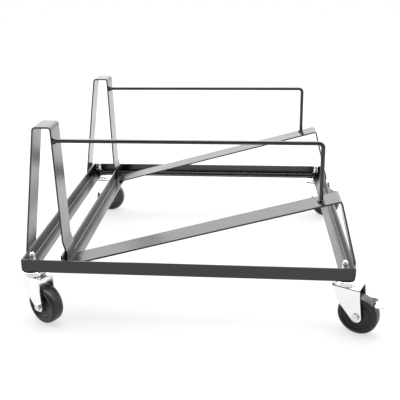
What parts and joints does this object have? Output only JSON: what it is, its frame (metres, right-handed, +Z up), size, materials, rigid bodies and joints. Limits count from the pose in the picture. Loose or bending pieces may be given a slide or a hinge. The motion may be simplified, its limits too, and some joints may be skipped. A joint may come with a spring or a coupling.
{
  "type": "stack chair dolly",
  "caption": "Low welded steel dolly for stacks of chairs: angle-iron base on swivel casters, sloped seat bars, tall uprights and round guide rods.",
  "frame": {"origin": "on the floor, under the middle of the whole dolly at rest", "axes": "+X along the front rail towards the low-to-high end of the seat bars, +Y towards the back rail, +Z up"},
  "size_m": [0.6956, 0.622, 0.382],
  "materials": {
    "black_coated_steel": "semi-gloss powder coat",
    "bright_plated_steel": "bright zinc plate",
    "zinc_steel_hardware": "zinc plate",
    "dark_steel_hardware": "black oxide",
    "black_hard_rubber": "moulded, slight sheen"
  },
  "bodies": {
    "frame": {"back_guide_rod": "black_coated_steel", "back_left_race_cup": "bright_plated_steel", "back_left_stem": "zinc_steel_hardware", "back_rail": "black_coated_steel", "back_right_race_cup": "bright_plated_steel", "back_right_stem": "zinc_steel_hardware", "back_rod_welds": "black_coated_steel", "back_seat_bar": "black_coated_steel", "back_upright": "black_coated_steel", "front_guide_rod": "black_coated_steel", "front_left_race_cup": "bright_plated_steel", "front_left_stem": "zinc_steel_hardware", "front_rail": "black_coated_steel", "front_right_race_cup": "bright_plated_steel", "front_right_stem": "zinc_steel_hardware", "front_rod_welds": "black_coated_steel", "front_seat_bar": "black_coated_steel", "front_upright": "black_coated_steel", "inner_left_rail": "black_coated_steel", "left_rail": "black_coated_steel", "right_rail": "black_coated_steel", "stem_nuts": "dark_steel_hardware", "stem_washers": "dark_steel_hardware"},
    "front_left_caster": {"front_left_fork": "bright_plated_steel", "front_left_race_balls": "zinc_steel_hardware", "front_left_bushing": "zinc_steel_hardware", "front_left_axle_bolt": "zinc_steel_hardware", "front_left_axle_nut": "zinc_steel_hardware"},
    "front_left_wheel_body": {"front_left_wheel": "black_hard_rubber"},
    "front_right_caster": {"front_right_fork": "bright_plated_steel", "front_right_race_balls": "zinc_steel_hardware", "front_right_bushing": "zinc_steel_hardware", "front_right_axle_bolt": "zinc_steel_hardware", "front_right_axle_nut": "zinc_steel_hardware", "front_right_brake_pin": "zinc_steel_hardware"},
    "front_right_wheel_body": {"front_right_wheel": "black_hard_rubber"},
    "front_right_brake": {"front_right_brake_lever": "bright_plated_steel"},
    "back_left_caster": {"back_left_fork": "bright_plated_steel", "back_left_race_balls": "zinc_steel_hardware", "back_left_bushing": "zinc_steel_hardware", "back_left_axle_bolt": "zinc_steel_hardware", "back_left_axle_nut": "zinc_steel_hardware"},
    "back_left_wheel_body": {"back_left_wheel": "black_hard_rubber"},
    "back_right_caster": {"back_right_fork": "bright_plated_steel", "back_right_race_balls": "zinc_steel_hardware", "back_right_bushing": "zinc_steel_hardware", "back_right_axle_bolt": "zinc_steel_hardware", "back_right_axle_nut": "zinc_steel_hardware", "back_right_brake_pin": "zinc_steel_hardware"},
    "back_right_wheel_body": {"back_right_wheel": "black_hard_rubber"},
    "back_right_brake": {"back_right_brake_lever": "bright_plated_steel"}
  },
  "joints": [
    {"name": "front_left_swivel", "type": "hinge", "parent": "frame", "child": "front_left_caster", "pos_m": [-0.32172, -0.26506, 0.104], "axis": [0, 0, 1], "continuous": true},
    {"name": "front_left_wheel_spin", "type": "hinge", "parent": "front_left_caster", "child": "front_left_wheel_body", "pos_m": [-0.29672, -0.28129, 0.0381], "axis": [0.5446, 0.8387, 0], "continuous": true},
    {"name": "front_right_swivel", "type": "hinge", "parent": "frame", "child": "front_right_caster", "pos_m": [0.27328, -0.26506, 0.104], "axis": [0, 0, 1], "continuous": true},
    {"name": "front_right_wheel_spin", "type": "hinge", "parent": "front_right_caster", "child": "front_right_wheel_body", "pos_m": [0.29984, -0.27859, 0.0381], "axis": [0.454, 0.891, 0], "continuous": true},
    {"name": "front_right_brake_press", "type": "hinge", "parent": "front_right_caster", "child": "front_right_brake", "pos_m": [0.3009, -0.27913, 0.06], "axis": [0.454, 0.891, 0], "range_deg": [0, 8]},
    {"name": "back_left_swivel", "type": "hinge", "parent": "frame", "child": "back_left_caster", "pos_m": [-0.32172, 0.28194, 0.104], "axis": [0, 0, 1], "continuous": true},
    {"name": "back_left_wheel_spin", "type": "hinge", "parent": "back_left_caster", "child": "back_left_wheel_body", "pos_m": [-0.29199, 0.28402, 0.0381], "axis": [-0.0698, 0.9976, 0], "continuous": true},
    {"name": "back_right_swivel", "type": "hinge", "parent": "frame", "child": "back_right_caster", "pos_m": [0.27328, 0.28194, 0.104], "axis": [0, 0, 1], "continuous": true},
    {"name": "back_right_wheel_spin", "type": "hinge", "parent": "back_right_caster", "child": "back_right_wheel_body", "pos_m": [0.30051, 0.26982, 0.0381], "axis": [0.4067, 0.9135, 0], "continuous": true},
    {"name": "back_right_brake_press", "type": "hinge", "parent": "back_right_caster", "child": "back_right_brake", "pos_m": [0.3016, 0.26933, 0.06], "axis": [0.4067, 0.9135, 0], "range_deg": [0, 8]}
  ]
}
